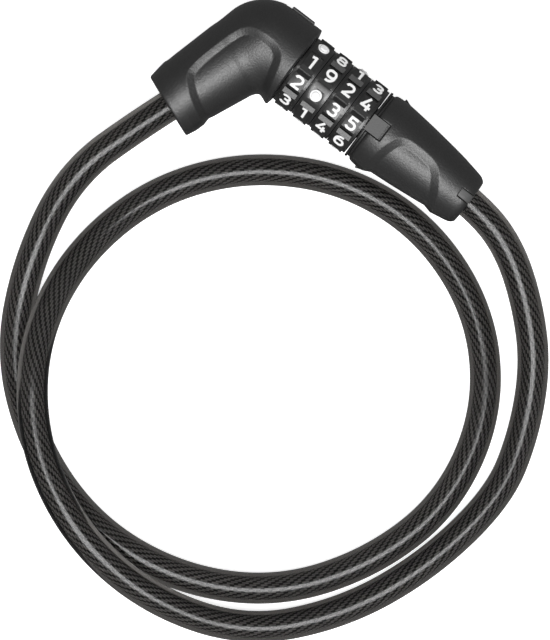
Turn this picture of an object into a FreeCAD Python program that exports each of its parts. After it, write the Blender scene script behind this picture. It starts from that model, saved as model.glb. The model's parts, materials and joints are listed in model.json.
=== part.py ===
"""Coiled cable lock with four code dials, built from its separate pieces.

The lock axis runs along X and the lock lies flat, with +Z up.
Lock pieces are drawn about the corner of the elbow, where the lock axis meets
the axis of the cable leg, and place() moves them into the part's frame.
All lengths are in millimetres and all angles in degrees.
"""
import FreeCAD
import Part

import math
import os

Vector = FreeCAD.Vector

# Part frame: its origin is under the centre of the lock, on the surface that it lies on.
AXIS_HEIGHT = 17.0
CORNER_X = -34.8
CORNER_Y = 13.5
CLEAR = 0.1
BEYOND = 60.0

# Cable.
CABLE_D = 12.0
JACKET_BORE_D = 6.4
STEEL_CORE_D = 6.3
RUN_SPLIT = 19
SPLIT_GAP = 0.3
ARC_SHARE = 0.45

# Elbow shell: the leg leaves the lock axis at this angle.
LEG_ANGLE = 111.0
LEG_LENGTH = 43.9
LEG_PROFILE = ((0.0, 14.0), (13.1, 15.1), (31.6, 13.9), (38.7, 13.7), (42.7, 13.1), (45.0, 11.8))
LEG_SHELL_OFFSET = 3.7
ELBOW_R = 17.0
ELBOW_END_X = 14.2
ELBOW_CHAMFER = 1.7
HEAD_CAVITY_R = 14.6
HEAD_CAVITY_BACK_X = -4.0
LEG_CAVITY_R = 10.2
LEG_CAVITY_END = 40.0
PANEL_DEPTH = 1.0
ELBOW_PANEL = ((16.0, -40.0), (-3.5, -37.0), (-15.6, -29.0), (-16.5, -23.3), (-11.8, -4.5),
               (-8.8, -0.2), (-5.0, 1.6), (2.4, 1.9), (7.1, 0.4), (8.7, -2.2), (11.8, -13.7),
               (16.0, -25.0))

# Code change slider on the spine of the elbow.
SLIDER_X = (-0.5, 9.8)
SLIDER_HALF_WIDTH = 3.5
SLIDER_TRAVEL = 2.2
SLIDER_TOP = 18.2
SLIDER_BASE = 14.75
FLANGE_TOP = 15.4
FLANGE_MARGIN = 1.0
SLIDER_GAP = 0.3
SLIDER_ROUNDING = 0.6

# Dials.
DIAL_COUNT = 4
DIAL_PITCH = 8.55
FIRST_DIAL_X = 18.6
DIAL_WIDTH = 8.3
COLLAR_R = 14.35
PAD_WIDTH = 5.9
PAD_FLAT_R = 15.0
PAD_HALF_LENGTH = 2.8
GROOVE_R = 12.9
SLOPE_ANGLE = 49.7
SLOPE_LENGTH = 2.0
DIGIT_STEP = 36.0
DIAL_ZERO_AT = (54.0, -18.0, 90.0, 162.0)
DIAL_BORE_R = 9.6
CAM_OUTER_R = 9.55
CAM_BORE_R = 7.05
CAM_WIDTH = 4.3
GATE_HALF_WIDTH = 1.6
GATE_R = 8.7

# Numerals.
STROKE = 1.0
DIGIT_RELIEF = 0.15
DOT_R = 2.3
DOT_CENTRE_R = 1.6
DOT_TOP = 14.7
DOT_CENTRE_TOP = 15.3
DOT_SEAT_DEPTH = 0.6
DOT_ROUNDING = 0.35

# Barrel, lock pin and the rings on the barrel.
BARREL_X = (1.5, 49.85)
BARREL_R = 7.0
BARREL_BORE_R = 3.92
BARREL_FLOOR_X = 3.5
SLOT_START_X = 12.0
SLOT_HALF_WIDTH = 1.35
PIN_X = (12.5, 64.0)
PIN_R = 3.85
LUG_R = 8.2
LUG_WIDTH = 2.0
LUG_HALF_THICKNESS = 1.15
LUG_BEHIND_CAM = 3.4
WAVE_SPRING_X = (12.75, 13.3)
WASHER_X = (13.4, 13.8)
WASHER_R = 13.6
END_RING_X = (48.9, BARREL_X[1])
END_RING_R = 14.9
TAB_X = (48.9, 55.6)
TAB_HALF_WIDTH = 3.45
TAB_TOP = 15.45
TAB_BASE = 13.1
DETENT_X = (15.2, 48.7)
DETENT_HALF_WIDTH = 1.4
DETENT_Z = (-6.75, -6.3)
DETENT_FLAT_Z = -6.2

# Tapered plug cover: outside and inside profiles as (distance along the axis, radius).
PLUG_OUTSIDE = ((50.9, 14.4), (51.6, 15.1), (56.0, 15.5), (62.0, 15.0), (70.0, 14.4), (78.0, 13.5),
                (86.0, 12.5), (92.0, 11.4), (95.5, 10.5), (97.0, 9.6), (97.6, 8.5))
PLUG_CAVITY = ((50.9, 11.9), (60.0, 11.9), (76.0, 11.0), (86.0, 9.6), (92.9, 8.0))
PLUG_END_X = PLUG_OUTSIDE[-1][0]
PLUG_CORE_START_X = 51.3
CABLE_HOLE_R = 6.3
JACKET_SEAT_R = 6.1
NOTCH_END_X = 56.6
NOTCH_FLOOR_R = 12.9
NOTCH_GAP = 0.25
WINDOW_START_X = 92.3
WINDOW_HALF_WIDTH = 1.9
THUMB_DEPTH = 1.1
THUMB_RECESS = ((58.3, -20.0), (58.3, -7.3), (61.2, 1.0), (65.2, 3.5), (74.3, 3.6), (79.6, 2.1),
                (84.6, -3.6), (87.4, -9.3), (87.4, -20.0))
RAMP_PROFILE = ((54.9, 14.8), (55.2, 16.3), (57.4, 15.3), (57.4, 14.8))
RAMP_THICKNESS = 1.6

# Ferrules crimped on the steel core, and the pins that hold them.
ELBOW_FERRULE = (13.0, 29.0)
ELBOW_FERRULE_R = 6.95
ELBOW_FERRULE_SOLID = 10.0
ELBOW_CROSS_PIN_AT = 18.0
ELBOW_CROSS_PIN_R = 1.5
ELBOW_CROSS_PIN_HALF = 8.5
PLUG_FERRULE = (68.0, 84.0)
PLUG_FERRULE_R = 5.4
PLUG_FERRULE_SOLID = 8.0
PLUG_CROSS_PIN_X = 72.0
PLUG_CROSS_PIN_R = 1.25
PLUG_CROSS_PIN_HALF = 9.5

# Ejector and its spring, in the blind end of the barrel.
EJECTOR_X = (9.2, 12.4)
EJECTOR_STEM_X = (6.0, 9.2)
EJECTOR_STEM_R = 1.6
SPRING_COIL_R = 3.1
SPRING_WIRE_R = 0.3
SPRING_START_X = 3.85
SPRING_PITCH = 0.95
SPRING_LENGTH = 4.9

X_AXIS = Vector(1, 0, 0)
Z_AXIS = Vector(0, 0, 1)
ORIGIN = Vector(0, 0, 0)
LEG_DIRECTION = Vector(math.cos(math.radians(LEG_ANGLE)), -math.sin(math.radians(LEG_ANGLE)), 0)
LEG_OUTWARD = Vector(LEG_DIRECTION.y, -LEG_DIRECTION.x, 0)

# Route of the cable from the elbow, once round on the table, over its own start and back to
# the plug. The first two and the last two points lie on the axes of the leg and of the lock.
CABLE_START = 32.5
CABLE_STRAIGHT_TO = 52.5
CABLE_PLUG_STRAIGHT_X = 68.5
CABLE_END_X = 51.0
FREE_ROUTE = (
    (-64.5, -70.5, 15.5), (-57.5, -108.0, 7.0), (-40.5, -141.0, 6.0), (-9.5, -164.0, 6.0),
    (26.5, -174.0, 6.0), (64.0, -168.5, 6.0), (96.5, -149.5, 6.0), (118.0, -118.0, 6.0),
    (127.0, -82.5, 6.0), (118.0, -45.5, 6.0), (93.0, -17.5, 6.0), (56.5, -4.0, 6.0),
    (19.0, -8.0, 6.0), (-14.0, -27.5, 6.0), (-36.5, -57.5, 6.0), (-44.5, -95.0, 9.5),
    (-36.5, -131.0, 18.8), (-13.0, -161.0, 18.8), (21.0, -178.5, 18.4), (58.5, -181.5, 13.2),
    (95.5, -169.5, 7.6), (121.0, -140.5, 6.0), (135.5, -106.0, 6.0), (141.0, -69.0, 6.0),
    (134.0, -44.0, 6.0), (121.5, -20.8, 7.4), (105.5, -4.8, 11.4), (87.0, 8.0, 15.2))


def revolve(profile):
    """Turn a closed (x, radius) outline about the lock axis."""
    corners = [Vector(x, 0, r) for x, r in profile]
    face = Part.Face(Part.makePolygon(corners + corners[:1]))
    return face.revolve(ORIGIN, X_AXIS, 360)


def rod(x_range, radius):
    return Part.makeCylinder(radius, x_range[1] - x_range[0], Vector(x_range[0], 0, 0), X_AXIS)


def ring(x_range, inner_r, outer_r):
    return rod(x_range, outer_r).cut(rod(x_range, inner_r))


def block(x_range, y_range, z_range):
    size = [high - low for low, high in (x_range, y_range, z_range)]
    return Part.makeBox(*size, Vector(x_range[0], y_range[0], z_range[0]))


def leg_rod(start, end, radius):
    return Part.makeCylinder(radius, end - start, LEG_DIRECTION * start, LEG_DIRECTION)


def turned(shape, angle):
    """Turn a shape about the lock axis, from the top towards +Y."""
    copy = shape.copy()
    copy.rotate(ORIGIN, X_AXIS, -angle)
    return copy


def prism(outline, half_height):
    corners = [Vector(x, y, -half_height) for x, y in outline]
    face = Part.Face(Part.makePolygon(corners + corners[:1]))
    return face.extrude(Vector(0, 0, 2 * half_height))


def place(shape):
    """Move a shape from the corner of the elbow into the part's frame."""
    copy = shape.copy()
    copy.translate(Vector(CORNER_X, CORNER_Y, AXIS_HEIGHT))
    return copy


# ---- Elbow ----

def elbow_outside(inset=0.0):
    """The elbow's outer form, made smaller all round by inset."""
    outline = [(x, r - inset) for x, r in LEG_PROFILE]
    leg = revolve([(0, 0)] + outline + [(LEG_PROFILE[-1][0], 0)])
    start = LEG_OUTWARD * LEG_SHELL_OFFSET
    heading = LEG_DIRECTION * LEG_LENGTH - start
    leg.rotate(ORIGIN, Z_AXIS, math.degrees(math.atan2(heading.y, heading.x)))
    leg.translate(start)
    leg = leg.common(leg_rod(-LEG_LENGTH, LEG_LENGTH, 2 * ELBOW_R))
    straight_end = ELBOW_END_X - ELBOW_CHAMFER
    reach = (-BEYOND, BEYOND)
    behind_rim = block((-BEYOND, straight_end), reach, reach)
    leg = leg.common(behind_rim)
    knuckle = Part.makeSphere(ELBOW_R - inset).common(behind_rim)
    head = rod((0, straight_end), ELBOW_R - inset)
    rim = Part.makeCone(ELBOW_R - inset, ELBOW_R - inset - ELBOW_CHAMFER, ELBOW_CHAMFER,
                        Vector(straight_end, 0, 0), X_AXIS)
    return knuckle.multiFuse([leg, head, rim])


def slider_slot():
    """Room for the slider and its flange, over the slider's whole travel."""
    half = SLIDER_HALF_WIDTH + SLIDER_GAP
    reach = (SLIDER_X[0] - SLIDER_TRAVEL - SLIDER_GAP, SLIDER_X[1] + SLIDER_GAP)
    window = block(reach, (HEAD_CAVITY_R - 1, SLIDER_TOP + 1), (-half, half))
    wide = (reach[0] - FLANGE_MARGIN, reach[1] + FLANGE_MARGIN)
    wide_half = half + FLANGE_MARGIN
    recess = block(wide, (HEAD_CAVITY_R - 1, FLANGE_TOP + SLIDER_GAP), (-wide_half, wide_half))
    return window.fuse(recess)


def elbow_covers():
    """Two shells that meet at the middle plane of the lock."""
    cavity = rod((HEAD_CAVITY_BACK_X, ELBOW_END_X + 1), HEAD_CAVITY_R)
    cavity = cavity.fuse(leg_rod(0, LEG_CAVITY_END, LEG_CAVITY_R))
    cable_hole = leg_rod(LEG_CAVITY_END - 1, LEG_LENGTH + 1, CABLE_HOLE_R)
    panel = prism(ELBOW_PANEL, ELBOW_R + 1).cut(elbow_outside(PANEL_DEPTH))
    shell = elbow_outside().cut(cavity).cut(cable_hole).cut(slider_slot()).cut(panel)
    reach = (-BEYOND, BEYOND)
    front = shell.common(block(reach, reach, (0, BEYOND)))
    back = shell.common(block(reach, reach, (-BEYOND, 0)))
    return front, back


def elbow_core():
    """Cast block inside the covers: it holds the barrel and the cable's ferrule."""
    head = rod((HEAD_CAVITY_BACK_X + CLEAR, WAVE_SPRING_X[0] - CLEAR / 2), HEAD_CAVITY_R - CLEAR)
    core = head.fuse(leg_rod(0, LEG_CAVITY_END - CLEAR, LEG_CAVITY_R - CLEAR))
    core = core.cut(rod((BARREL_X[0], BARREL_X[1]), BARREL_R))
    core = core.cut(leg_rod(*ELBOW_FERRULE, ELBOW_FERRULE_R + CLEAR / 2))
    core = core.cut(leg_rod(ELBOW_FERRULE[1] - 1, LEG_CAVITY_END + 1, JACKET_SEAT_R))
    return core.cut(elbow_cross_pin())


def elbow_ferrule():
    sleeve = leg_rod(*ELBOW_FERRULE, ELBOW_FERRULE_R)
    bore = leg_rod(ELBOW_FERRULE[0] + ELBOW_FERRULE_SOLID, ELBOW_FERRULE[1] + 1, JACKET_BORE_D / 2)
    return sleeve.cut(bore).cut(elbow_cross_pin())


def elbow_cross_pin():
    foot = LEG_DIRECTION * ELBOW_CROSS_PIN_AT - Z_AXIS * ELBOW_CROSS_PIN_HALF
    return Part.makeCylinder(ELBOW_CROSS_PIN_R, 2 * ELBOW_CROSS_PIN_HALF, foot, Z_AXIS)


def code_slider():
    half = SLIDER_HALF_WIDTH
    button = block(SLIDER_X, (SLIDER_BASE, SLIDER_TOP), (-half, half))
    top_edges = [edge for edge in button.Edges if edge.CenterOfMass.y > SLIDER_TOP - CLEAR]
    button = button.makeFillet(SLIDER_ROUNDING, top_edges)
    wide = (SLIDER_X[0] - FLANGE_MARGIN, SLIDER_X[1] + FLANGE_MARGIN)
    flange = block(wide, (SLIDER_BASE, FLANGE_TOP), (-half - FLANGE_MARGIN, half + FLANGE_MARGIN))
    return button.fuse(flange)


# ---- Barrel and what sits on it ----

def barrel():
    """Slotted tube that the dials turn on and the lock pin goes into."""
    tube = rod(BARREL_X, BARREL_R)
    tube = tube.cut(rod((BARREL_FLOOR_X, BARREL_X[1] + 1), BARREL_BORE_R))
    half = SLOT_HALF_WIDTH
    slot = block((SLOT_START_X, BARREL_X[1] + 1), (-half, half), (0, BARREL_R + 1))
    half = DETENT_HALF_WIDTH + CLEAR
    along = (DETENT_X[0] - CLEAR, DETENT_X[1] + CLEAR)
    flat = block(along, (-half, half), (-BARREL_R - 1, DETENT_FLAT_Z))
    return tube.cut(slot).cut(flat)


def detent_spring():
    half = DETENT_HALF_WIDTH
    return block(DETENT_X, (-half, half), DETENT_Z)


def gate(x_range):
    """Room for the lugs of the lock pin to pass through."""
    return block(x_range, (-GATE_HALF_WIDTH, GATE_HALF_WIDTH), (0, GATE_R))


def end_ring():
    """Ring on the end of the barrel, with the index tab that marks the code line."""
    plate = ring(END_RING_X, BARREL_R, END_RING_R)
    plate = plate.cut(gate((END_RING_X[0] - 1, END_RING_X[1] + 1)))
    half = TAB_HALF_WIDTH
    return plate.fuse(block(TAB_X, (-half, half), (TAB_BASE, TAB_TOP)))


def wave_spring():
    return ring(WAVE_SPRING_X, BARREL_R + CLEAR, WASHER_R - 1).cut(gate((0, BEYOND)))


def thrust_washer():
    return ring(WASHER_X, BARREL_R + CLEAR / 2, WASHER_R).cut(gate((0, BEYOND)))


def ejector():
    return rod(EJECTOR_X, PIN_R).fuse(rod(EJECTOR_STEM_X, EJECTOR_STEM_R))


def ejector_spring():
    helix = Part.makeHelix(SPRING_PITCH, SPRING_LENGTH, SPRING_COIL_R)
    section = Part.Wire(Part.makeCircle(SPRING_WIRE_R, Vector(SPRING_COIL_R, 0, 0), Vector(0, 1, 0)))
    coil = Part.Wire(helix).makePipeShell([section], True, True)
    coil.rotate(ORIGIN, Vector(0, 1, 0), 90)
    coil.translate(Vector(SPRING_START_X, 0, 0))
    return coil


# ---- Dials ----

def dial_outline():
    """Cross-section through the pads: nine flats with sloped ends and a groove between neighbours."""
    slope = math.radians(SLOPE_ANGLE)
    foot_reach = PAD_HALF_LENGTH + SLOPE_LENGTH * math.cos(slope)
    foot_height = PAD_FLAT_R - SLOPE_LENGTH * math.sin(slope)
    foot_angle = math.degrees(math.atan2(foot_reach, foot_height))
    foot_r = math.hypot(foot_reach, foot_height)
    pad_angle = math.degrees(math.atan2(PAD_HALF_LENGTH, PAD_FLAT_R))
    pad_r = math.hypot(PAD_HALF_LENGTH, PAD_FLAT_R)

    def rim(angle, radius):
        turn = math.radians(angle)
        return Vector(0, radius * math.sin(turn), radius * math.cos(turn))

    corners = []
    for digit in range(1, 10):
        centre = -DIGIT_STEP * digit
        before_r = COLLAR_R if digit == 1 else GROOVE_R
        after_r = COLLAR_R if digit == 9 else GROOVE_R
        for angle, radius in ((foot_angle, before_r), (foot_angle, foot_r), (pad_angle, pad_r)):
            corners.append(rim(centre + angle, radius))
        for angle, radius in ((pad_angle, pad_r), (foot_angle, foot_r), (foot_angle, after_r)):
            corners.append(rim(centre - angle, radius))
    edges = [Part.makeLine(a, b) for a, b in zip(corners, corners[1:])]
    edges.append(Part.Arc(corners[-1], rim(0, COLLAR_R), corners[0]).toShape())
    return Part.Wire(edges)


def dial_body():
    """One dial with nine raised pads; the sector of the zero stays round and takes its dot."""
    padded = Part.Face(dial_outline()).extrude(Vector(PAD_WIDTH, 0, 0))
    padded.translate(Vector(-PAD_WIDTH / 2, 0, 0))
    half = DIAL_WIDTH / 2
    collars = [rod((-half, -PAD_WIDTH / 2), COLLAR_R), rod((PAD_WIDTH / 2, half), COLLAR_R)]
    whole = padded.multiFuse(collars)
    dot_seat = Part.makeCylinder(DOT_R, DIAL_WIDTH, Vector(0, 0, COLLAR_R - DOT_SEAT_DEPTH), Z_AXIS)
    return whole.cut(rod((-half - 1, half + 1), DIAL_BORE_R)).cut(dot_seat)


def cam_ring():
    half = CAM_WIDTH / 2
    return ring((-half, half), CAM_BORE_R, CAM_OUTER_R).cut(gate((-half - 1, half + 1)))


def bar(x0, y0, x1, y1):
    """Straight stroke of a digit, with square ends."""
    length = math.hypot(x1 - x0, y1 - y0)
    stroke = Part.makeBox(length, STROKE, DIGIT_RELIEF, Vector(0, -STROKE / 2, 0))
    stroke.rotate(ORIGIN, Z_AXIS, math.degrees(math.atan2(y1 - y0, x1 - x0)))
    stroke.translate(Vector(x0, y0, 0))
    return stroke


def bow(x, y, radius, start, end):
    """Curved stroke of a digit, anticlockwise from start to end."""
    outer = Part.makeCylinder(radius + STROKE / 2, DIGIT_RELIEF, ORIGIN, Z_AXIS, end - start)
    stroke = outer.cut(Part.makeCylinder(radius - STROKE / 2, DIGIT_RELIEF))
    stroke.rotate(ORIGIN, Z_AXIS, start)
    stroke.translate(Vector(x, y, 0))
    return stroke


def loop(y, radius, half_flat):
    """Closed bowl of a digit: two half rounds and two short flats."""
    return [bow(half_flat, y, radius, -90, 90), bow(-half_flat, y, radius, 90, 270),
            bar(-half_flat, y + radius, half_flat, y + radius),
            bar(-half_flat, y - radius, half_flat, y - radius)]


def digit_strokes():
    """Strokes of the digits 1 to 9, about the middle of each digit."""
    hook = [bow(0.45, 0.0, 2.2, 72, 180), bar(-1.75, 0.05, -1.75, -0.9)]
    six = loop(-0.85, 1.35, 0.4) + hook
    nine = []
    for stroke in six:
        copy = stroke.copy()
        copy.rotate(ORIGIN, Z_AXIS, 180)
        nine.append(copy)
    return {
        1: [bar(0.45, -2.7, 0.45, 2.7), bar(-1.25, 2.0, 0.5, 2.2)],
        2: [bow(-0.4, 0.95, 1.25, 90, 160), bar(-0.4, 2.2, 0.4, 2.2), bow(0.4, 0.95, 1.25, -40, 90),
            bar(1.5, 0.3, -1.4, -2.1), bar(-1.85, -2.2, 1.95, -2.2)],
        3: [bow(-0.4, 1.12, 1.08, 90, 155), bar(-0.4, 2.2, 0.4, 2.2), bow(0.4, 1.12, 1.08, -90, 90),
            bar(-0.5, 0.04, 0.5, 0.04), bow(0.5, -1.08, 1.12, -90, 90), bar(-0.5, -2.2, 0.5, -2.2),
            bow(-0.5, -1.08, 1.12, -155, -90)],
        4: [bar(0.55, 2.7, -1.55, -1.1), bar(-2.15, -1.2, 2.15, -1.2), bar(0.95, -2.7, 0.95, 0.5)],
        5: [bar(-1.5, 2.2, 1.7, 2.2), bar(-1.15, 2.5, -1.3, 0.0), bar(-1.6, 0.4, 0.4, 0.4),
            bow(0.4, -0.9, 1.3, -90, 90), bar(-0.4, -2.2, 0.4, -2.2), bow(-0.4, -0.9, 1.3, -150, -90)],
        6: six,
        7: [bar(-1.85, 2.2, 1.95, 2.2), bar(1.55, 2.4, -0.5, -2.7)],
        8: loop(1.15, 1.05, 0.35) + loop(-1.05, 1.15, 0.5),
        9: nine,
    }


def zero_dot():
    base = COLLAR_R - DOT_SEAT_DEPTH
    disc = Part.makeCylinder(DOT_R, DOT_TOP - base, Vector(0, 0, base), Z_AXIS)
    height = DOT_CENTRE_TOP - COLLAR_R
    centre = Part.makeCylinder(DOT_CENTRE_R, height, Vector(0, 0, COLLAR_R), Z_AXIS)
    rim_edges = [edge for edge in centre.Edges if edge.CenterOfMass.z > DOT_CENTRE_TOP - CLEAR]
    return disc.fuse(centre.makeFillet(DOT_ROUNDING, rim_edges[:1]))


def dial_marks():
    """White numerals on the pads, and the dot that stands for zero."""
    marks = [zero_dot()]
    for digit, strokes in digit_strokes().items():
        numeral = strokes[0].multiFuse(strokes[1:]).removeSplitter()
        numeral.translate(Vector(0, 0, PAD_FLAT_R))
        marks.append(turned(numeral, -DIGIT_STEP * digit))
    return Part.makeCompound(marks)


# ---- Plug ----

def plug_outside(inset=0.0):
    outline = [(x, r - inset) for x, r in PLUG_OUTSIDE]
    return revolve([(PLUG_OUTSIDE[0][0], 0)] + outline + [(PLUG_END_X, 0)])


def plug_cover():
    cavity = revolve([(PLUG_CAVITY[0][0] - 1, 0), (PLUG_CAVITY[0][0] - 1, PLUG_CAVITY[0][1])]
                     + list(PLUG_CAVITY) + [(PLUG_CAVITY[-1][0], 0)])
    hole = rod((PLUG_CAVITY[-1][0] - 1, PLUG_END_X + 1), CABLE_HOLE_R)
    half = TAB_HALF_WIDTH + NOTCH_GAP
    notch = block((PLUG_OUTSIDE[0][0] - 1, NOTCH_END_X), (-half, half), (NOTCH_FLOOR_R, BEYOND))
    half = WINDOW_HALF_WIDTH
    window = block((WINDOW_START_X, PLUG_END_X + 1), (-half, half), (0, BEYOND))
    recess = prism(THUMB_RECESS, BEYOND).cut(plug_outside(THUMB_DEPTH))
    cover = plug_outside().cut(cavity).cut(hole).cut(notch).cut(window).cut(recess)
    ramp_corners = [Vector(x, -RAMP_THICKNESS / 2, r) for x, r in RAMP_PROFILE]
    ramp = Part.Face(Part.makePolygon(ramp_corners + ramp_corners[:1]))
    ramp = ramp.extrude(Vector(0, RAMP_THICKNESS, 0))
    return cover.multiFuse([turned(ramp, 90), turned(ramp, -90)])


def plug_cross_pin():
    foot = Vector(PLUG_CROSS_PIN_X, 0, -PLUG_CROSS_PIN_HALF)
    return Part.makeCylinder(PLUG_CROSS_PIN_R, 2 * PLUG_CROSS_PIN_HALF, foot, Z_AXIS)


def plug_core():
    """Cast block inside the plug cover, with the lug that snaps into the cover's window."""
    start = PLUG_CORE_START_X
    end = PLUG_CAVITY[-1][0] - CLEAR
    outline = [(start, PLUG_CAVITY[0][1] - CLEAR)] + [(x, r - CLEAR) for x, r in PLUG_CAVITY[1:-1]]
    core = revolve([(start, 0)] + outline + [(end, PLUG_CAVITY[-1][1] - CLEAR), (end, 0)])
    half = WINDOW_HALF_WIDTH - NOTCH_GAP
    lug = block((end - 1, PLUG_END_X), (-half, half), (0, BEYOND)).common(plug_outside(CLEAR))
    core = core.fuse(lug.cut(rod((0, PLUG_END_X + 1), CABLE_HOLE_R + CLEAR)))
    core = core.cut(rod((start - 1, PIN_X[1]), PIN_R))
    core = core.cut(rod(PLUG_FERRULE, PLUG_FERRULE_R + CLEAR / 2))
    core = core.cut(rod((PLUG_FERRULE[1] - 1, end + 1), JACKET_SEAT_R))
    return core.cut(plug_cross_pin())


def plug_ferrule():
    bore = rod((PLUG_FERRULE[0] + PLUG_FERRULE_SOLID, PLUG_FERRULE[1] + 1), JACKET_BORE_D / 2)
    return rod(PLUG_FERRULE, PLUG_FERRULE_R).cut(bore).cut(plug_cross_pin())


def lock_pin():
    """Pin with one lug behind each cam: the gates of the cams let the lugs out."""
    pin = rod(PIN_X, PIN_R)
    half = LUG_HALF_THICKNESS
    for index in range(DIAL_COUNT):
        centre = FIRST_DIAL_X + index * DIAL_PITCH - LUG_BEHIND_CAM
        reach = (centre - LUG_WIDTH / 2, centre + LUG_WIDTH / 2)
        pin = pin.fuse(block(reach, (-half, half), (0, LUG_R)))
    return pin


# ---- Cable ----

def cable_route(start, end_x):
    """Points of the cable's route in the part's frame, ends included."""
    corner = Vector(CORNER_X, CORNER_Y, AXIS_HEIGHT)
    route = [corner + LEG_DIRECTION * start, corner + LEG_DIRECTION * CABLE_STRAIGHT_TO]
    route += [Vector(*point) for point in FREE_ROUTE]
    route.append(Vector(CABLE_PLUG_STRAIGHT_X, CORNER_Y, AXIS_HEIGHT))
    route.append(Vector(end_x, CORNER_Y, AXIS_HEIGHT))
    return route


def bend_radius(before, point, after):
    into = point - before
    out = after - point
    half_turn = into.getAngle(out) / 2
    return ARC_SHARE * min(into.Length, out.Length) / math.tan(half_turn)


def rounded_path(points):
    """Straight runs joined by tangent arcs."""
    edges = []
    last = points[0]
    for before, point, after in zip(points, points[1:], points[2:]):
        reach = ARC_SHARE * min((point - before).Length, (after - point).Length)
        enter = point + (before - point).normalize() * reach
        leave = point + (after - point).normalize() * reach
        radius = bend_radius(before, point, after)
        inward = ((enter + leave) * 0.5 - point).normalize()
        half_turn = (point - before).getAngle(after - point) / 2
        middle = point + inward * (radius / math.cos(half_turn) - radius)
        edges.append(Part.makeLine(last, enter))
        edges.append(Part.Arc(enter, middle, leave).toShape())
        last = leave
    edges.append(Part.makeLine(last, points[-1]))
    return Part.Wire(edges)


def tube(points, radius):
    path = rounded_path(points)
    start = Part.makeCircle(radius, points[0], points[1] - points[0])
    solid = path.makePipeShell([Part.Wire(start)], True, False)
    expected = math.pi * radius ** 2 * path.Length
    print("tube r %.2f length %.1f volume / (section x length) %.4f"
          % (radius, path.Length, solid.Volume / expected))
    return solid


def cable_pieces():
    """Jacket and steel core of the elbow's run and of the plug's run, which meet end to end."""
    core_start = ELBOW_FERRULE[0] + ELBOW_FERRULE_SOLID + 1
    core_end_x = CORNER_X + PLUG_FERRULE[0] + PLUG_FERRULE_SOLID + 1
    layers = (("jacket", CABLE_START, CABLE_END_X, CABLE_D / 2, JACKET_BORE_D / 2),
              ("core", core_start, core_end_x, STEEL_CORE_D / 2, 0))
    pieces = {}
    for name, start, end_x, outer, inner in layers:
        route = cable_route(start, end_x)
        before, after = route[RUN_SPLIT - 1], route[RUN_SPLIT]
        middle = (before + after) * 0.5
        gap = (after - before).normalize() * (SPLIT_GAP / 2)
        runs = {"elbow": route[:RUN_SPLIT] + [middle - gap], "plug": [middle + gap] + route[RUN_SPLIT:]}
        for run, points in runs.items():
            solid = tube(points, outer)
            if inner:
                solid = solid.cut(tube(points, inner))
            pieces["cable_%s_%s_run" % (name, run)] = solid
    return pieces


def print_bends():
    route = cable_route(CABLE_START, CABLE_END_X)
    radii = [bend_radius(*three) for three in zip(route, route[1:], route[2:])]
    print("bend radii", " ".join("%.0f" % radius for radius in radii))
    print("runs", " ".join("%.0f" % (b - a).Length for a, b in zip(route, route[1:])))


# ---- The whole lock ----

def lock_pieces():
    front, back = elbow_covers()
    pieces = {
        "elbow_cover_front": front,
        "elbow_cover_back": back,
        "elbow_core": elbow_core(),
        "elbow_ferrule": elbow_ferrule(),
        "elbow_cross_pin": elbow_cross_pin(),
        "code_slider": code_slider(),
        "barrel": barrel(),
        "detent_spring": detent_spring(),
        "end_ring": end_ring(),
        "wave_spring": wave_spring(),
        "thrust_washer": thrust_washer(),
        "ejector": ejector(),
        "ejector_spring": ejector_spring(),
        "plug_cover": plug_cover(),
        "plug_core": plug_core(),
        "plug_ferrule": plug_ferrule(),
        "plug_cross_pin": plug_cross_pin(),
        "lock_pin": lock_pin(),
    }
    dial, marks, cam = dial_body(), dial_marks(), cam_ring()
    for index, zero_angle in enumerate(DIAL_ZERO_AT):
        along = Vector(FIRST_DIAL_X + index * DIAL_PITCH, 0, 0)
        name = "dial_%d" % (index + 1)
        group = (("", dial, zero_angle), ("_numerals", marks, zero_angle), ("_cam", cam, 0))
        for suffix, shape, angle in group:
            piece = turned(shape, angle)
            piece.translate(along)
            pieces[name + suffix] = piece
    return {name: place(shape) for name, shape in pieces.items()}


def main():
    os.makedirs("parts", exist_ok=True)
    print_bends()
    pieces = lock_pieces()
    box = Part.makeCompound(list(pieces.values())).BoundBox
    print("lock box x %.2f %.2f y %.2f %.2f z %.2f %.2f"
          % (box.XMin, box.XMax, box.YMin, box.YMax, box.ZMin, box.ZMax))
    pieces.update(cable_pieces())
    for name, shape in pieces.items():
        if not shape.isValid():
            print("not valid:", name)
        shape.exportStep("parts/%s.step" % name)
    print(len(pieces), "nodes")


main()
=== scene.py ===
"""Looks of the coiled cable lock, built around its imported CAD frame.

The frame is in metres. The moulded covers are worked out here in millimetres about
the corner of the elbow, where the lock axis (along X) meets the axis of the cable leg.
"""
import json
import math

import bpy
import numpy as np
from mathutils import Matrix, Vector


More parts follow.
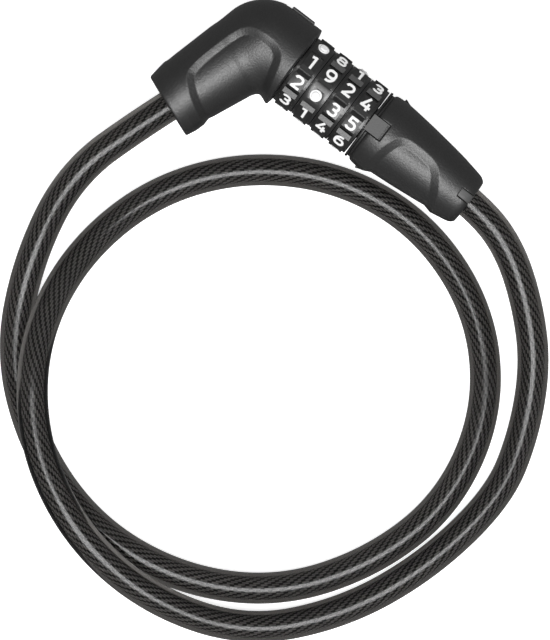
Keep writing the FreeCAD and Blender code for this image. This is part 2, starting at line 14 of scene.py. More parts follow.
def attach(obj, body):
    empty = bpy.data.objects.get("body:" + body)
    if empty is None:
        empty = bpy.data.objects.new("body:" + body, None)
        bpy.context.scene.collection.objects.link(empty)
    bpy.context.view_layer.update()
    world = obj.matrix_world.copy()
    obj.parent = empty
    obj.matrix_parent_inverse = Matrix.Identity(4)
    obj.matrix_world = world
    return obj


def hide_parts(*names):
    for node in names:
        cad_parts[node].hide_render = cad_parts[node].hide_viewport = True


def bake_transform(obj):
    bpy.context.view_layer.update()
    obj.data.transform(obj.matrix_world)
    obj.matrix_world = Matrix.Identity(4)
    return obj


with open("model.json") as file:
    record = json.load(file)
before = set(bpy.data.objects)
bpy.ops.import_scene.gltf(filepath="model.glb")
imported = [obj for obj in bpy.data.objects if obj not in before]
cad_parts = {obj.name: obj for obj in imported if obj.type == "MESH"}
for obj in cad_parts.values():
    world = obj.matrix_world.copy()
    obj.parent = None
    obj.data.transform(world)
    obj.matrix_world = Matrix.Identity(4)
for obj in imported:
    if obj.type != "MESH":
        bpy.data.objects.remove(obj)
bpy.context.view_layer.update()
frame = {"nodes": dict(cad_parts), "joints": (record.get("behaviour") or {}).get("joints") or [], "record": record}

MM = 0.001                     # one millimetre in metres
nodes = frame["nodes"]
joints = {joint["name"]: joint for joint in frame["joints"]}

# The elbow's corner on the lock axis: the first dial stands this far from it.
FIRST_DIAL_X = 18.6
dial_place = Vector(joints["dial_1_turn"]["pos_m"])
CORNER = dial_place - Vector((FIRST_DIAL_X * MM, 0, 0))
LEG_ANGLE = math.radians(111.0)
LEG_DIRECTION = Vector((math.cos(LEG_ANGLE), -math.sin(LEG_ANGLE), 0))

# The end ring's index tab: half its width, and how far from the lock axis it begins.
TAB_HALF_WIDTH = 3.6
TAB_FROM_R = 12.0


# ---- Material helpers ----

class Graph:
    """A short way to write a node tree."""

    def __init__(self, tree):
        self.tree = tree

    def add(self, kind, settings=None, **inputs):
        node = self.tree.nodes.new(kind)
        for name, value in (settings or {}).items():
            setattr(node, name, value)
        for name, value in inputs.items():
            key = int(name[1:]) if name[0] == "_" and name[1:].isdigit() else name.replace("_", " ")
            self.set(node.inputs[key], value)
        return node

    def set(self, socket, value):
        if isinstance(value, bpy.types.NodeSocket):
            self.tree.links.new(value, socket)
        else:
            socket.default_value = value

    def math(self, operation, a, b=0.0, clamp=False):
        node = self.add("ShaderNodeMath", {"operation": operation, "use_clamp": clamp}, _0=a, _1=b)
        return node.outputs[0]

    def mix(self, share, low, high):
        node = self.add("ShaderNodeMix", {"data_type": "RGBA"})
        self.set(node.inputs[0], share)
        self.set(node.inputs[6], low)
        self.set(node.inputs[7], high)
        return node.outputs[2]


def grey(level, warm=0.0):
    return (level * (1 + warm), level, level * (1 - warm), 1.0)


def new_material(name, **principled):
    material = bpy.data.materials.new(name)
    material.use_nodes = True
    graph = Graph(material.node_tree)
    shader = material.node_tree.nodes["Principled BSDF"]
    for key, value in principled.items():
        shader.inputs[key.replace("_", " ")].default_value = value
    return material, graph, shader


def add_bump(graph, shader, height, distance, strength):
    bump = graph.add("ShaderNodeBump", Strength=strength, Distance=distance, Height=height)
    graph.set(shader.inputs["Normal"], bump.outputs[0])


def moulded_plastic(name, level, roughness, grain_size, grain_depth):
    """Moulded plastic with a fine spark-eroded grain and slight unevenness of gloss."""
    material, graph, shader = new_material(name, Specular_IOR_Level=0.8)
    place = graph.add("ShaderNodeNewGeometry").outputs["Position"]
    grain = graph.add("ShaderNodeTexNoise", Vector=place, Scale=1 / grain_size, Detail=3.0, Roughness=0.6)
    cloud = graph.add("ShaderNodeTexNoise", Vector=place, Scale=140.0, Detail=2.0)
    share = graph.math("MULTIPLY", grain.outputs[0], 0.75)
    share = graph.math("ADD", share, graph.math("MULTIPLY", cloud.outputs[0], 0.25))
    graph.set(shader.inputs["Base Color"], graph.mix(share, grey(level * 0.72), grey(level * 1.3)))
    spread = graph.math("MULTIPLY", graph.math("SUBTRACT", grain.outputs[0], 0.5), 0.22)
    graph.set(shader.inputs["Roughness"], graph.math("ADD", spread, roughness, clamp=True))
    add_bump(graph, shader, grain.outputs[0], grain_depth, 0.8)
    return material


def ring_metal(name):
    """Dark ring whose index tab, at the top of the lock, is a lighter grey."""
    material, graph, shader = new_material(name, Roughness=0.5, Specular_IOR_Level=0.5)
    place = graph.add("ShaderNodeNewGeometry").outputs["Position"]
    grain = graph.add("ShaderNodeTexNoise", Vector=place, Scale=1600.0, Detail=3.0)
    split = graph.add("ShaderNodeSeparateXYZ", Vector=place)
    sideways = graph.math("ABSOLUTE", graph.math("SUBTRACT", split.outputs[1], CORNER.y))
    near = graph.math("LESS_THAN", sideways, TAB_HALF_WIDTH * MM)
    high = graph.math("GREATER_THAN", split.outputs[2], CORNER.z + TAB_FROM_R * MM)
    tab = graph.math("MULTIPLY", near, high)
    light = graph.mix(grain.outputs[0], grey(0.045), grey(0.08))
    dark = graph.mix(grain.outputs[0], grey(0.006), grey(0.012))
    graph.set(shader.inputs["Base Color"], graph.mix(tab, dark, light))
    add_bump(graph, shader, grain.outputs[0], 0.00005, 0.6)
    return material


def machined_metal(name, level, roughness, warm=0.0):
    """Turned metal with fine tool marks round the lock axis."""
    material, graph, shader = new_material(name, Metallic=1.0)
    place = graph.add("ShaderNodeNewGeometry").outputs["Position"]
    stretch = graph.add("ShaderNodeMapping", Vector=place, Scale=(4000.0, 300.0, 300.0))
    marks = graph.add("ShaderNodeTexNoise", Vector=stretch.outputs[0], Scale=1.0, Detail=2.0)
    low, high = grey(level * 0.85, warm), grey(level * 1.1, warm)
    graph.set(shader.inputs["Base Color"], graph.mix(marks.outputs[0], low, high))
    spread = graph.math("MULTIPLY", marks.outputs[0], 0.15)
    graph.set(shader.inputs["Roughness"], graph.math("ADD", spread, roughness))
    add_bump(graph, shader, marks.outputs[0], 0.00002, 0.5)
    return material


def clear_jacket(name):
    """Smoke-tinted clear PVC with a little haze."""
    material, graph, shader = new_material(
        name, Base_Color=grey(0.075, 0.05), Transmission_Weight=1.0, IOR=1.3, Specular_IOR_Level=0.25)
    place = graph.add("ShaderNodeNewGeometry").outputs["Position"]
    haze = graph.add("ShaderNodeTexNoise", Vector=place, Scale=900.0, Detail=2.0)
    spread = graph.math("MULTIPLY", haze.outputs[0], 0.06)
    graph.set(shader.inputs["Roughness"], graph.math("ADD", spread, 0.15))
    add_bump(graph, shader, haze.outputs[0], 0.00001, 0.1)
    return material


BRAID_ROWS = 32           # rows of strands round the core
BRAID_REPEAT = 4.4        # mm along the cable for one strand to pass over and under
BRAID_SHIFT = 1 / 3       # of a repeat, from one row to the next
BRAID_OVER = 0.6          # share of a repeat that a strand shows


def braid(name):
    """Braided steel sleeve: each strand shows for part of its repeat, a third further on in each row.

    The mesh's UV holds the distance along the cable in repeats and the turn round it.
    """
    material, graph, shader = new_material(name, Specular_IOR_Level=0.1)
    uv = graph.add("ShaderNodeUVMap", {"uv_map": "UVMap"}).outputs[0]
    split = graph.add("ShaderNodeSeparateXYZ", Vector=uv)
    rows = graph.math("MULTIPLY", split.outputs[1], BRAID_ROWS)
    row = graph.math("FLOOR", rows)
    across = graph.math("ABSOLUTE", graph.math("SUBTRACT", graph.math("FRACT", rows), 0.5))
    # The rounded top of each row; it also paints shade, as the colour darkens towards each row's edges.
    crown_and_painted_shade = graph.math("SUBTRACT", 1.0, graph.math("POWER", graph.math("MULTIPLY", across, 2.0), 3.0))
    phase = graph.math("ADD", split.outputs[0], graph.math("MULTIPLY", row, BRAID_SHIFT))
    along = graph.math("ABSOLUTE", graph.math("SUBTRACT", graph.math("FRACT", phase), 0.5))
    reach = graph.math("SUBTRACT", BRAID_OVER / 2, along)
    over = graph.math("ADD", graph.math("MULTIPLY", reach, 16.0), 0.5, clamp=True)
    height = graph.math("MULTIPLY", graph.math("ADD", graph.math("MULTIPLY", over, 0.7), 0.3), crown_and_painted_shade)
    # Painted shade: the steel is painted nearly black where a strand passes under, and towards the edges of each
    # row.
    strands_and_painted_shade = graph.mix(over, grey(0.06), grey(0.95))
    graph.set(shader.inputs["Base Color"], graph.mix(crown_and_painted_shade, grey(0.06), strands_and_painted_shade))
    graph.set(shader.inputs["Roughness"], graph.math("SUBTRACT", 0.6, graph.math("MULTIPLY", over, 0.2)))
    add_bump(graph, shader, height, 0.0002, 0.3)
    return material


def white_paint(name):
    """White filling of the numerals, slightly uneven."""
    material, graph, shader = new_material(name, Roughness=0.55, Specular_IOR_Level=0.3)
    place = graph.add("ShaderNodeNewGeometry").outputs["Position"]
    spots = graph.add("ShaderNodeTexNoise", Vector=place, Scale=2500.0, Detail=2.0)
    graph.set(shader.inputs["Base Color"], graph.mix(spots.outputs[0], grey(0.72), grey(0.84)))
    add_bump(graph, shader, spots.outputs[0], 0.00003, 0.5)
    return material


materials = {
    "cover_plastic": moulded_plastic("cover_plastic", 0.011, 0.46, 0.0007, 0.00014),
    "slider_plastic": moulded_plastic("slider_plastic", 0.010, 0.42, 0.0006, 0.00006),
    "dial_plastic": moulded_plastic("dial_plastic", 0.010, 0.40, 0.0005, 0.00003),
    "grey_metal": ring_metal("grey_metal"),
    "cast_zinc": moulded_plastic("cast_zinc", 0.055, 0.55, 0.0006, 0.00006),
    "numeral_white": white_paint("numeral_white"),
    "steel": machined_metal("steel", 0.55, 0.3),
    "spring_steel": machined_metal("spring_steel", 0.5, 0.25),
    "brass": machined_metal("brass", 0.5, 0.3, 0.3),
    "cable_jacket": clear_jacket("cable_jacket"),
    "braided_core": braid("braided_core"),
}


# ---- CAD nodes that stay: rounded edges and their own finishes ----

# Millimetres by which the edges of each material's nodes are rounded.
EDGE_ROUNDING = {"dial_plastic": 0.12, "numeral_white": 0.04, "slider_plastic": 0.2, "grey_metal": 0.15,
                 "cast_zinc": 0.15, "steel": 0.1, "brass": 0.08}


def finish_cad_node(name, slot):
    """Give a CAD node its material and, where its edges show, a rounding of them."""
    piece = nodes[name]
    piece.data.materials.clear()
    piece.data.materials.append(materials[slot])
    if slot in EDGE_ROUNDING:
        weld = piece.modifiers.new("weld", "WELD")
        weld.merge_threshold = 1e-6
        bevel = piece.modifiers.new("edges", "BEVEL")
        bevel.width = EDGE_ROUNDING[slot] * MM
        bevel.segments = 2
        bevel.limit_method = "ANGLE"
        bevel.angle_limit = math.radians(35)
        bevel.harden_normals = True
        bevel.use_clamp_overlap = True


for part in frame["record"]["subparts"]:
    finish_cad_node(part["node"], part["material_slot"])


# ---- Meshes ----

def mesh_object(name, points, faces, slot):
    """A smooth shaded piece made of points in metres."""
    mesh = bpy.data.meshes.new(name)
    mesh.from_pydata([tuple(point) for point in points], [], [tuple(face) for face in faces])
    mesh.update()
    mesh.polygons.foreach_set("use_smooth", [True] * len(mesh.polygons))
    piece = bpy.data.objects.new(name, mesh)
    bpy.context.scene.collection.objects.link(piece)
    mesh.materials.append(materials[slot])
    return piece


def surface_net(distance, low, high, cell):
    """Points and quads of the surface where distance(points) is zero."""
    axes = [np.arange(a, b + cell, cell) for a, b in zip(low, high)]
    grid = np.stack(np.meshgrid(*axes, indexing="ij"), -1)
    value = distance(grid.reshape(-1, 3)).reshape(grid.shape[:3])
    inside = value < 0
    shape = tuple(n - 1 for n in inside.shape)
    total = np.zeros(shape + (3,))
    count = np.zeros(shape)
    corners = [(i, j, k) for i in (0, 1) for j in (0, 1) for k in (0, 1)]

    def part(array, corner):
        return array[tuple(slice(c, c + n) for c, n in zip(corner, shape))]

    for a in corners:
        for axis in range(3):
            if a[axis]:
                continue
            b = tuple(c + (k == axis) for k, c in enumerate(a))
            cross = part(inside, a) != part(inside, b)
            va, vb = part(value, a), part(value, b)
            share = np.where(cross, va / np.where(cross, va - vb, 1), 0)
            step = np.array(a, float) + share[..., None] * np.eye(3)[axis]
            total += np.where(cross[..., None], step, 0)
            count += cross
    active = count > 0
    index = np.full(shape, -1)
    index[active] = np.arange(active.sum())
    base = np.stack(np.nonzero(active), -1)
    points = np.array(low) + cell * (base + total[active] / count[active][:, None])
    faces = []
    for axis in range(3):
        u, v = [k for k in range(3) if k != axis]
        lower = tuple(slice(0, -1) if k == axis else slice(1, -1) for k in range(3))
        upper = tuple(slice(1, None) if k == axis else slice(1, -1) for k in range(3))
        start, end = inside[lower], inside[upper]
        cells = np.stack(np.nonzero(start != end), -1)
        leaving = start[tuple(cells.T)]
        cells = cells + [0 if k == axis else 1 for k in range(3)]
        around = []
        for du, dv in ((1, 1), (0, 1), (0, 0), (1, 0)):
            shift = cells.copy()
            shift[:, u] -= du
            shift[:, v] -= dv
            around.append(index[tuple(shift.T)])
        quads = np.stack(around, -1)
        flip = leaving if axis == 1 else ~leaving
        quads[flip] = quads[flip][:, ::-1]
        faces.append(quads)
    faces = np.concatenate(faces)
    for _ in range(2):
        points = pull_to_surface(distance, points, cell)
    return points, faces


SLOPE_STEP = 0.05         # mm to either side over which a slope is taken


def pull_to_surface(distance, points, cell):
    """Move points along the slope of the distance onto its zero, by half a cell at most."""
    slope = np.stack([distance(points + offset) - distance(points - offset)
                      for offset in np.eye(3) * SLOPE_STEP], -1) / (2 * SLOPE_STEP)
    size = np.maximum((slope ** 2).sum(1), 0.25)
    move = -(distance(points) / size)[:, None] * slope
    length = np.linalg.norm(move, axis=1, keepdims=True)
    return points + move * np.minimum(1, 0.5 * cell / np.maximum(length, 1e-9))


# ---- Distances, in millimetres ----

def join(a, b, blend):
    """Union of two solids with a fillet of about blend."""
    share = np.clip(0.5 + 0.5 * (b - a) / blend, 0, 1)
    return b + (a - b) * share - blend * share * (1 - share)


def cut(a, b, blend):
    """Solid a without b, with the edge rounded by about blend."""
    return -join(-a, b, blend)


def box_distance(points, low, high):
    """A box between two corners."""
    centre = (np.array(low) + np.array(high)) / 2
    half = (np.array(high) - np.array(low)) / 2
    away = np.abs(points - centre) - half
    return np.linalg.norm(np.maximum(away, 0), axis=1) + np.minimum(away.max(1), 0)


def rod_distance(points, start, direction, length, radius):
    """A round rod with flat ends."""
    offset = points - np.array(start)
    along = offset @ np.array(direction)
    across = np.sqrt(np.maximum((offset ** 2).sum(1) - along ** 2, 0))
    away = np.stack([across - radius, -along, along - length], -1)
    side = np.maximum(away[:, 0], 0)
    end = np.maximum(np.maximum(away[:, 1], away[:, 2]), 0)
    return np.hypot(side, end) + np.minimum(away.max(1), 0)


def soften(outline, closed=True):
    """Cut the corners of an outline until it is a smooth curve."""
    points = np.array(outline, float)
    for _ in range(2):
        after = np.roll(points, -1, axis=0) if closed else points[1:]
        before = points if closed else points[:-1]
        cuts = np.stack([0.75 * before + 0.25 * after, 0.25 * before + 0.75 * after], 1).reshape(-1, 2)
        points = cuts if closed else np.concatenate([points[:1], cuts, points[-1:]])
    return points


def outline_distance(points, outline):
    """Distance in the XY plane to a closed outline, negative inside it."""
    flat = points[:, :2]
    best = np.full(len(flat), 1e9)
    inside = np.zeros(len(flat), bool)
    for a, b in zip(outline, np.roll(outline, -1, axis=0)):
        edge = b - a
        offset = flat - a
        share = np.clip(offset @ edge / (edge @ edge), 0, 1)
        best = np.minimum(best, np.linalg.norm(offset - share[:, None] * edge, axis=1))
        crosses = (a[1] > flat[:, 1]) != (b[1] > flat[:, 1])
        height = edge[1] if edge[1] else 1e-9
        inside ^= crosses & (flat[:, 0] < a[0] + (flat[:, 1] - a[1]) * edge[0] / height)
    return np.where(inside, -best, best)


def recess(points, outline, depth, band):
    """How far the surface is sunk: nothing outside the outline, depth beyond the sloped band."""
    share = -outline_distance(points, outline) / band
    share = np.clip(share, 0, 1)
    return depth * share


# ---- Elbow covers, about the corner ----

ELBOW_R = 17.5            # the head, round the lock axis
ELBOW_END_X = 14.2        # end face towards the dials, which slants back from END_FACE_R outwards
END_FACE_R = 14.5
END_FACE_SLOPE = 0.2
HEAD_REACH_R = 20.0       # beyond this from the lock axis the end face cuts nothing
LEG_LENGTH = 43.9
LEG_START = 3.0
# Along the leg from the corner: how far its middle lies outward of the cable, and its radius.
LEG_PROFILE = np.array([(3.0, 2.0, 15.7), (14.0, 1.25, 16.0), (31.0, 0.7, 14.7), (34.4, 0.7, 14.25),
                        (36.3, 0.85, 14.15), (39.6, 0.3, 13.9), (43.2, -0.05, 13.25), (44.5, -0.2, 12.7)])
HEAD_CAVITY_R = 14.6
HEAD_CAVITY_START = -4.0
LEG_CAVITY_R = 10.2
LEG_CAVITY_END = 40.0
CABLE_HOLE_R = 6.15
CABLE_HOLE_START = 30.0
PAST_ENDS = 30.0          # length of a bore that runs out past the end of its cover
INNER_FILLET = 3.2        # between the leg and the head
# The recessed panel: places along the leg with the depth there, its sloped band and its outline.
PANEL_DEPTH = ((-4.0, 1.25), (9.0, 1.5))
PANEL_BAND = 3.0
PANEL_OUTLINE = soften(((20.0, -44.0), (-2.5, -38.5), (-16.4, -29.4), (-17.3, -22.6), (-12.4, -3.6),
                        (-8.4, 1.4), (-2.0, 2.3), (4.4, 2.1), (8.6, -0.9), (10.4, -8.0), (15.0, -25.0)))
# Opposite corners of the room for the slider and its flange.
SLIDER_WINDOW = ((-3.0, 13.6, -3.8), (10.1, 20.0, 3.8))
SLIDER_RECESS = ((-4.0, 13.6, -4.8), (11.1, 15.7, 4.8))
MIDDLE_GAP = 0.04         # between the two halves

leg = np.array(LEG_DIRECTION)
leg_outward = np.array((LEG_DIRECTION.y, -LEG_DIRECTION.x, 0))


def elbow_outside(points):
    """The leg and the head, joined, with the panel sunk and the ends cut off."""
    along = points @ leg
    outward = points @ leg_outward - np.interp(along, LEG_PROFILE[:, 0], LEG_PROFILE[:, 1])
    before = np.minimum(along - LEG_START, 0)
    leg_form = np.sqrt(outward ** 2 + points[:, 2] ** 2 + before ** 2)
    leg_form = leg_form - np.interp(along, LEG_PROFILE[:, 0], LEG_PROFILE[:, 2])
    head_along = np.clip(points[:, 0], 0, ELBOW_END_X)
    head = np.sqrt((points[:, 0] - head_along) ** 2 + points[:, 1] ** 2 + points[:, 2] ** 2) - ELBOW_R
    form = join(leg_form, head, INNER_FILLET)
    form = form + recess(points, PANEL_OUTLINE, np.interp(along, *zip(*PANEL_DEPTH)), PANEL_BAND)
    form = cut(form, LEG_LENGTH - along, 0.5)
    across = np.hypot(points[:, 1], points[:, 2])
    end_face = points[:, 0] - ELBOW_END_X + END_FACE_SLOPE * (across - END_FACE_R)
    end_face = end_face / math.hypot(1, END_FACE_SLOPE)
    form = cut(form, np.maximum(-end_face, across - HEAD_REACH_R), 0.5)
    form = cut(form, points[:, 2] + CORNER.z / MM, 0.2)
    return cut(form, ELBOW_END_X - points[:, 0], 0.3)


def elbow_shell(points):
    """The elbow's outer form, hollowed, with its holes for the cable and the slider."""
    form = elbow_outside(points)
    x_axis = (1.0, 0.0, 0.0)
    head_cavity = rod_distance(points, (HEAD_CAVITY_START, 0, 0), x_axis, PAST_ENDS, HEAD_CAVITY_R)
    leg_cavity = rod_distance(points, (0, 0, 0), leg, LEG_CAVITY_END, LEG_CAVITY_R)
    form = cut(form, np.minimum(head_cavity, leg_cavity), 0.2)
    cable_hole = rod_distance(points, leg * CABLE_HOLE_START, leg, PAST_ENDS, CABLE_HOLE_R)
    form = cut(form, cable_hole, 0.3)
    form = cut(form, box_distance(points, *SLIDER_WINDOW), 0.15)
    return cut(form, box_distance(points, *SLIDER_RECESS), 0.1)


def moulded_cover(name, distance, low, high, body, *replaced):
    """The surface of a solid between two corners, as a piece that stands for CAD covers."""
    cell = 0.35
    points, faces = surface_net(distance, low, high, cell)
    piece = mesh_object(name, points * MM + np.array(CORNER), faces, "cover_plastic")
    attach(piece, body)
    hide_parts(*replaced)
    return piece


def elbow_half(side):
    """The elbow above (1) or below (-1) the middle plane of the lock."""
    def distance(points):
        return cut(elbow_shell(points), side * points[:, 2] - MIDDLE_GAP / 2, 0.1)
    return distance


ELBOW_LOW, ELBOW_HIGH = np.array((-31.0, -48.0)), np.array((16.0, 19.0))
moulded_cover("elbow_front_shell", elbow_half(1), (*ELBOW_LOW, -1.0), (*ELBOW_HIGH, 19.0), "lock_body",
              "elbow_cover_front")
moulded_cover("elbow_back_shell", elbow_half(-1), (*ELBOW_LOW, -19.0), (*ELBOW_HIGH, 1.0), "lock_body",
              "elbow_cover_back")


# ---- Plug cover ----

PLUG_LIP_X = 49.9         # narrower lip that reaches towards the end ring
PLUG_LIP_LENGTH = 4.0
PLUG_LIP_R = 14.2
PLUG_START_X = 50.9
PLUG_END_X = 97.6
PLUG_PROFILE = soften(((50.9, 14.5), (52.0, 15.3), (57.0, 15.5), (62.0, 15.1), (70.0, 14.4), (78.0, 13.5),
                       (86.0, 12.5), (92.0, 11.4), (95.8, 10.7), (97.6, 9.2), (98.2, 8.2)), closed=False)
# Places along the axis with the radius of the hollow there.
PLUG_CAVITY = np.array([(50.0, 11.9), (60.0, 11.9), (76.0, 11.0), (86.0, 9.6), (92.9, 8.0)])
PLUG_HOLE_R = 6.3
# Opposite corners of the notch for the index tab and of the window for the snap lug.
NOTCH = ((48.0, -3.7, 12.9), (56.6, 3.7, 20.0))
WINDOW = ((92.3, -1.9, 4.0), (100.0, 1.9, 20.0))
THUMB_DEPTH = 1.3
THUMB_BAND = 3.2
THUMB_OUTLINE = soften(((57.6, -24.0), (57.9, -8.0), (60.4, 0.6), (64.0, 3.9), (74.6, 4.0), (80.4, 2.4),
                        (85.2, -3.8), (88.2, -10.0), (88.2, -24.0)))
PLUG_LEAN = 0.45          # how far the far end's middle lies towards the coil
# The two small ramps on the sides.
RAMP_X = (54.9, 57.4)
RAMP_FLOOR = 13.0
RAMP_FROM_R = 15.4
RAMP_HEIGHT = 1.0
RAMP_HALF_WIDTH = 0.8


def plug_shell(points):
    """The plug's cover: a tapered body with a thumb recess, a lip, two ramps and its openings."""
    across = np.hypot(points[:, 1], points[:, 2])
    lean = PLUG_LEAN * (points[:, 0] - PLUG_START_X) / (PLUG_END_X - PLUG_START_X)
    form = np.hypot(points[:, 1] + lean, points[:, 2])
    form = form - np.interp(points[:, 0], PLUG_PROFILE[:, 0], PLUG_PROFILE[:, 1])
    form = form + recess(points, THUMB_OUTLINE, THUMB_DEPTH, THUMB_BAND)
    form = cut(form, points[:, 0] - PLUG_START_X, 0.4)
    lip_half = PLUG_LIP_LENGTH / 2
    lip = np.maximum(across - PLUG_LIP_R, np.abs(points[:, 0] - PLUG_LIP_X - lip_half) - lip_half)
    form = np.minimum(form, lip)
    climb = np.clip((RAMP_X[1] - points[:, 0]) / (RAMP_X[1] - RAMP_X[0]), 0, 1)
    rise = RAMP_FROM_R + RAMP_HEIGHT * climb
    ramp = np.maximum(np.abs(points[:, 1]) - rise, np.abs(points[:, 2]) - RAMP_HALF_WIDTH)
    ramp = np.maximum(ramp, np.maximum(RAMP_X[0] - points[:, 0], points[:, 0] - RAMP_X[1]))
    form = join(form, np.maximum(ramp, RAMP_FLOOR - np.abs(points[:, 1])), 0.3)
    form = cut(form, PLUG_END_X - points[:, 0], 0.6)
    inner = np.interp(points[:, 0], PLUG_CAVITY[:, 0], PLUG_CAVITY[:, 1])
    cavity = np.maximum(across - inner, points[:, 0] - PLUG_CAVITY[-1, 0])
    form = cut(form, cavity, 0.2)
    form = cut(form, across - PLUG_HOLE_R, 0.4)
    form = cut(form, box_distance(points, *NOTCH), 0.2)
    return cut(form, box_distance(points, *WINDOW), 0.2)


moulded_cover("plug_shell", plug_shell, (49.5, -17.5, -16.5), (98.5, 17.5, 16.5), "plug", "plug_cover")


# ---- Cable, in metres ----

CABLE_D = 0.012
CORE_R = 0.0034
# Along the leg from the corner: the cable's end, where it may first bend, and where it comes out.
CABLE_START = 0.0325
CABLE_STRAIGHT_TO = 0.0525
# Along the lock axis: where the cable is straight again, and its other end, in the plug.
CABLE_PLUG_STRAIGHT_X = 0.0685
CABLE_END_X = 0.0510
# From the elbow round on the table, over its own start and back to the plug.
FREE_ROUTE = (
    (-0.0645, -0.0705, 0.0155), (-0.0575, -0.1080, 0.0070), (-0.0405, -0.1410, 0.0060),
    (-0.0095, -0.1640, 0.0060), (0.0265, -0.1740, 0.0060), (0.0640, -0.1685, 0.0060),
    (0.0965, -0.1495, 0.0060), (0.1180, -0.1180, 0.0060), (0.1270, -0.0825, 0.0060),
    (0.1180, -0.0455, 0.0060), (0.0930, -0.0175, 0.0060), (0.0565, -0.0040, 0.0060),
    (0.0190, -0.0080, 0.0060), (-0.0140, -0.0275, 0.0060), (-0.0365, -0.0575, 0.0060),
    (-0.0445, -0.0950, 0.0095), (-0.0365, -0.1310, 0.0188), (-0.0130, -0.1610, 0.0188),
    (0.0210, -0.1785, 0.0184), (0.0585, -0.1815, 0.0132), (0.0955, -0.1695, 0.0076),
    (0.1210, -0.1405, 0.0060), (0.1355, -0.1060, 0.0060), (0.1410, -0.0690, 0.0060),
    (0.1340, -0.0440, 0.0060), (0.1215, -0.0208, 0.0074), (0.1055, -0.0048, 0.0114),
    (0.0870, 0.0080, 0.0152))
JACKET_SIDES = 40
CORE_SIDES = 32


def cable_line():
    """Points along the cable's smooth centreline."""
    route = [CORNER + LEG_DIRECTION * CABLE_START, CORNER + LEG_DIRECTION * CABLE_STRAIGHT_TO]
    route += [Vector(point) for point in FREE_ROUTE]
    route += [Vector((CABLE_PLUG_STRAIGHT_X, CORNER.y, CORNER.z)), Vector((CABLE_END_X, CORNER.y, CORNER.z))]
    curve = bpy.data.curves.new("cable_route", "CURVE")
    curve.dimensions = "3D"
    spline = curve.splines.new("NURBS")
    spline.points.add(len(route) - 1)
    for point, place in zip(spline.points, route):
        point.co = (*place, 1.0)
    spline.order_u = 3
    spline.use_endpoint_u = True
    spline.resolution_u = 24
    holder = bpy.data.objects.new("cable_route", curve)
    bpy.context.scene.collection.objects.link(holder)
    mesh = bpy.data.meshes.new_from_object(holder)
    line = np.array([tuple(vertex.co) for vertex in mesh.vertices])
    bpy.data.objects.remove(holder)
    bpy.data.meshes.remove(mesh)
    keep = np.r_[True, np.linalg.norm(np.diff(line, axis=0), axis=1) > 1e-6]
    return line[keep]


def cable_frames(line):
    """Directions across the line that don't twist along it."""
    tangent = np.gradient(line, axis=0)
    tangent /= np.linalg.norm(tangent, axis=1, keepdims=True)
    across = np.cross(tangent[0], (0, 0, 1.0))
    sideways = []
    for direction in tangent:
        across = across - direction * (across @ direction)
        across = across / np.linalg.norm(across)
        sideways.append(across)
    sideways = np.array(sideways)
    return sideways, np.cross(tangent, sideways)


def round_tube(name, line, radius, slot, sides):
    """Closed tube along the line.

    Its UV holds the distance along it in repeats of the braid, and the turn round it.
    """
    first, second = cable_frames(line)
    turn = np.arange(sides) * 2 * math.pi / sides
    ring = (first[:, None] * np.cos(turn)[None, :, None] + second[:, None] * np.sin(turn)[None, :, None])
    points = (line[:, None] + radius * ring).reshape(-1, 3)
    count = len(line)
    faces = []
    for row in range(count - 1):
        for side in range(sides):
            after = (side + 1) % sides
            faces.append((row * sides + side, row * sides + after,
                          (row + 1) * sides + after, (row + 1) * sides + side))
    faces.append(tuple(range(sides))[::-1])
    faces.append(tuple((count - 1) * sides + side for side in range(sides)))
    piece = mesh_object(name, points, faces, slot)
    run = np.r_[0, np.cumsum(np.linalg.norm(np.diff(line, axis=0), axis=1))]
    repeats = run / (BRAID_REPEAT * MM)
    layer = piece.data.uv_layers.new(name="UVMap")
    coordinates = np.zeros((len(piece.data.loops), 2))
    quads = (count - 1) * sides
    rows = np.repeat(np.arange(count - 1), sides)
    turns = np.tile(np.arange(sides), count - 1)
    for corner, (down, on) in enumerate(((0, 0), (0, 1), (1, 1), (1, 0))):
        coordinates[corner:quads * 4:4, 0] = repeats[rows + down]
        coordinates[corner:quads * 4:4, 1] = (turns + on) / sides
    layer.data.foreach_set("uv", coordinates.ravel())
    return piece


def flex(piece):
    """Bake the piece's placement into its mesh; it is not attached to the elbow or the plug."""
    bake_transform(piece)


line = cable_line()
braid_sleeve = round_tube("cable_braid", line, CORE_R, "braided_core", CORE_SIDES)
flex(braid_sleeve)
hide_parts("cable_core_elbow_run", "cable_core_plug_run")
jacket = round_tube("cable_jacket", line, CABLE_D / 2, "cable_jacket", JACKET_SIDES)
flex(jacket)
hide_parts("cable_jacket_elbow_run", "cable_jacket_plug_run")


# ---- Floor, light and camera ----

FLOOR_HALF = 6.0
FLOOR_GLOW = 0.8


def pale_floor():
    """A nearly white floor, which the object's glossy sides don't mirror."""
    material, graph, shader = new_material("floor", Roughness=0.9, Specular_IOR_Level=0.1)
    place = graph.add("ShaderNodeNewGeometry").outputs["Position"]
    cloud = graph.add("ShaderNodeTexNoise", Vector=place, Scale=3.0)
    graph.set(shader.inputs["Base Color"], graph.mix(cloud.outputs[0], grey(0.93), grey(0.95)))
    shader.inputs["Emission Color"].default_value = (1, 1, 1, 1)
    shader.inputs["Emission Strength"].default_value = FLOOR_GLOW
    mesh = bpy.data.meshes.new("floor")
    corners = [(x * FLOOR_HALF, y * FLOOR_HALF, 0) for x, y in ((-1, -1), (1, -1), (1, 1), (-1, 1))]
    mesh.from_pydata(corners, [], [(0, 1, 2, 3)])
    mesh.materials.append(material)
    floor = bpy.data.objects.new("floor", mesh)
    bpy.context.scene.collection.objects.link(floor)
    floor.visible_glossy = False


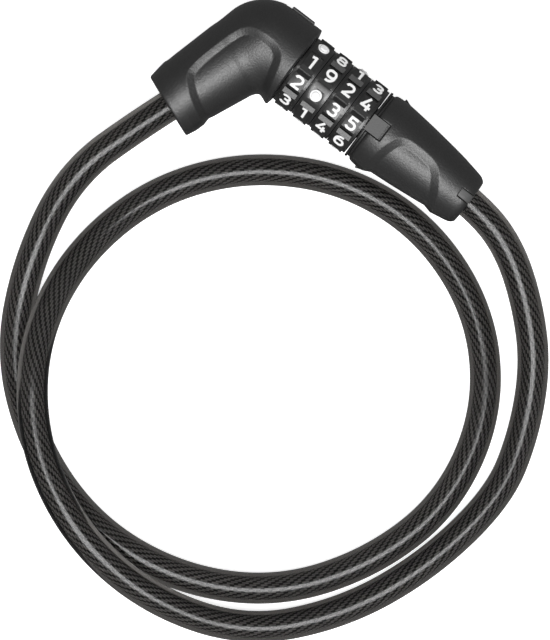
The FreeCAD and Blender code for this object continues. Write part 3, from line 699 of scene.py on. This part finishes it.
ROLL = math.radians(37.4)      # the lock axis falls to the right by this angle in the picture
CAMERA_HEIGHT = 1.2
CAMERA_FROM_CORNER = Vector((0.0662, -0.0809, 0))
LENS = 174.7
SOFTBOX_SIZE = (0.85, 0.7)
SOFTBOX_POWER = 30.0
SOFTBOX_HEIGHT = 1.5
SOFTBOX_BELOW = 0.42           # metres from the middle towards the bottom of the picture
SURROUND = 0.2


def area_light(name, place, target, size, power):
    """A rectangular light that faces its target, with its width across the picture."""
    light = bpy.data.lights.new(name, "AREA")
    light.shape = "RECTANGLE"
    light.size, light.size_y = size
    light.energy = power
    holder = bpy.data.objects.new(name, light)
    bpy.context.scene.collection.objects.link(holder)
    holder.location = place
    look = (place - target).normalized()
    right = Vector((math.cos(ROLL), math.sin(ROLL), 0))
    up = look.cross(right).normalized()
    right = up.cross(look)
    rotation = np.array([right, up, look]).T
    holder.rotation_mode = "QUATERNION"
    holder.rotation_quaternion = Matrix(rotation.tolist()).to_quaternion()
    return holder


def studio():
    """One softbox, a dim surround, and the camera straight above."""
    middle = Vector((CORNER.x + CAMERA_FROM_CORNER.x, CORNER.y + CAMERA_FROM_CORNER.y, 0))
    up = Vector((-math.sin(ROLL), math.cos(ROLL), 0))
    place = middle - up * SOFTBOX_BELOW + Vector((0, 0, SOFTBOX_HEIGHT))
    area_light("softbox", place, middle, SOFTBOX_SIZE, SOFTBOX_POWER)
    world = bpy.data.worlds.new("studio")
    world.use_nodes = True
    world.node_tree.nodes["Background"].inputs[0].default_value = (1, 1, 1, 1)
    world.node_tree.nodes["Background"].inputs[1].default_value = SURROUND
    bpy.context.scene.world = world
    camera = bpy.data.cameras.new("camera")
    camera.lens = LENS
    camera.clip_start = 0.05
    holder = bpy.data.objects.new("camera", camera)
    bpy.context.scene.collection.objects.link(holder)
    holder.location = middle + Vector((0, 0, CAMERA_HEIGHT))
    holder.rotation_euler = (0, 0, ROLL)
    bpy.context.scene.camera = holder
    bpy.context.scene.view_settings.view_transform = "Standard"


pale_floor()
studio()
